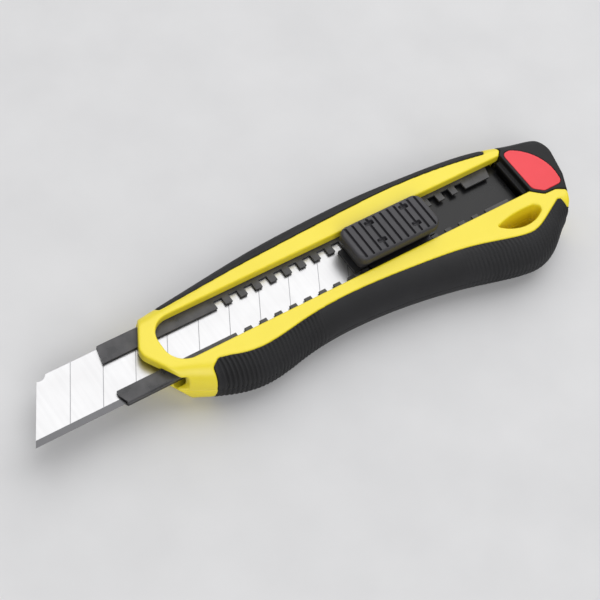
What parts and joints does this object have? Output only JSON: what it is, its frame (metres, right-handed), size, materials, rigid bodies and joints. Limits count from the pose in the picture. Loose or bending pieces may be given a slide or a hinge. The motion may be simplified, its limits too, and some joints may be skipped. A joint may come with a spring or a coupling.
{
  "type": "snap-off utility knife",
  "caption": "Snap-off utility knife: segmented blade in a notched steel channel, ribbed thumb slider with lock spring, two-shell handle with soft grips, pull-off end cap.",
  "frame": {"origin": "on the flat back face of the handle, on the blade's centre line, half way along the knife at rest", "axes": "+X from the blade's tip to the tail, +Y from the cutting edge to the spine, +Z out of the face that carries the thumb pad"},
  "size_m": [0.1824, 0.0439, 0.0189],
  "materials": {
    "shell": "moulded ABS, satin, lemon yellow",
    "grip": "soft-touch moulded rubber, matte",
    "channel": "black-coated bent sheet steel",
    "blade": "bright ground steel, faint cross grind",
    "carrier": "moulded acetal, satin black",
    "spring": "spring steel strip",
    "pad": "moulded, fine spark texture, grey-black",
    "cap": "moulded ABS, satin black",
    "insert": "moulded ABS, satin coral red",
    "screws": "zinc-plated self-tapping screws"
  },
  "bodies": {
    "handle": {"front_shell": "shell", "back_shell": "shell", "belly_grip_front": "grip", "belly_grip_back": "grip", "spine_grip_front": "grip", "spine_grip_back": "grip", "blade_channel": "channel", "shell_screws": "screws"},
    "slider": {"snap_blade": "blade", "blade_carrier": "carrier", "lock_spring": "spring"},
    "pad": {"thumb_pad": "pad"},
    "tail_cap": {"end_cap": "cap", "end_cap_insert": "insert"}
  },
  "joints": [
    {"name": "blade_slide", "type": "slide", "parent": "handle", "child": "slider", "axis": [-1, 0, 0], "range_m": [-0.03, 0.055], "deforming": ["lock_spring"]},
    {"name": "pad_release", "type": "slide", "parent": "slider", "child": "pad", "axis": [-1, 0, 0], "range_m": [-0.001, 0.001], "stiffness_N_per_m": 600},
    {"name": "end_cap_pull", "type": "slide", "parent": "handle", "child": "tail_cap", "axis": [1, 0, 0], "range_m": [0, 0.04]}
  ]
}
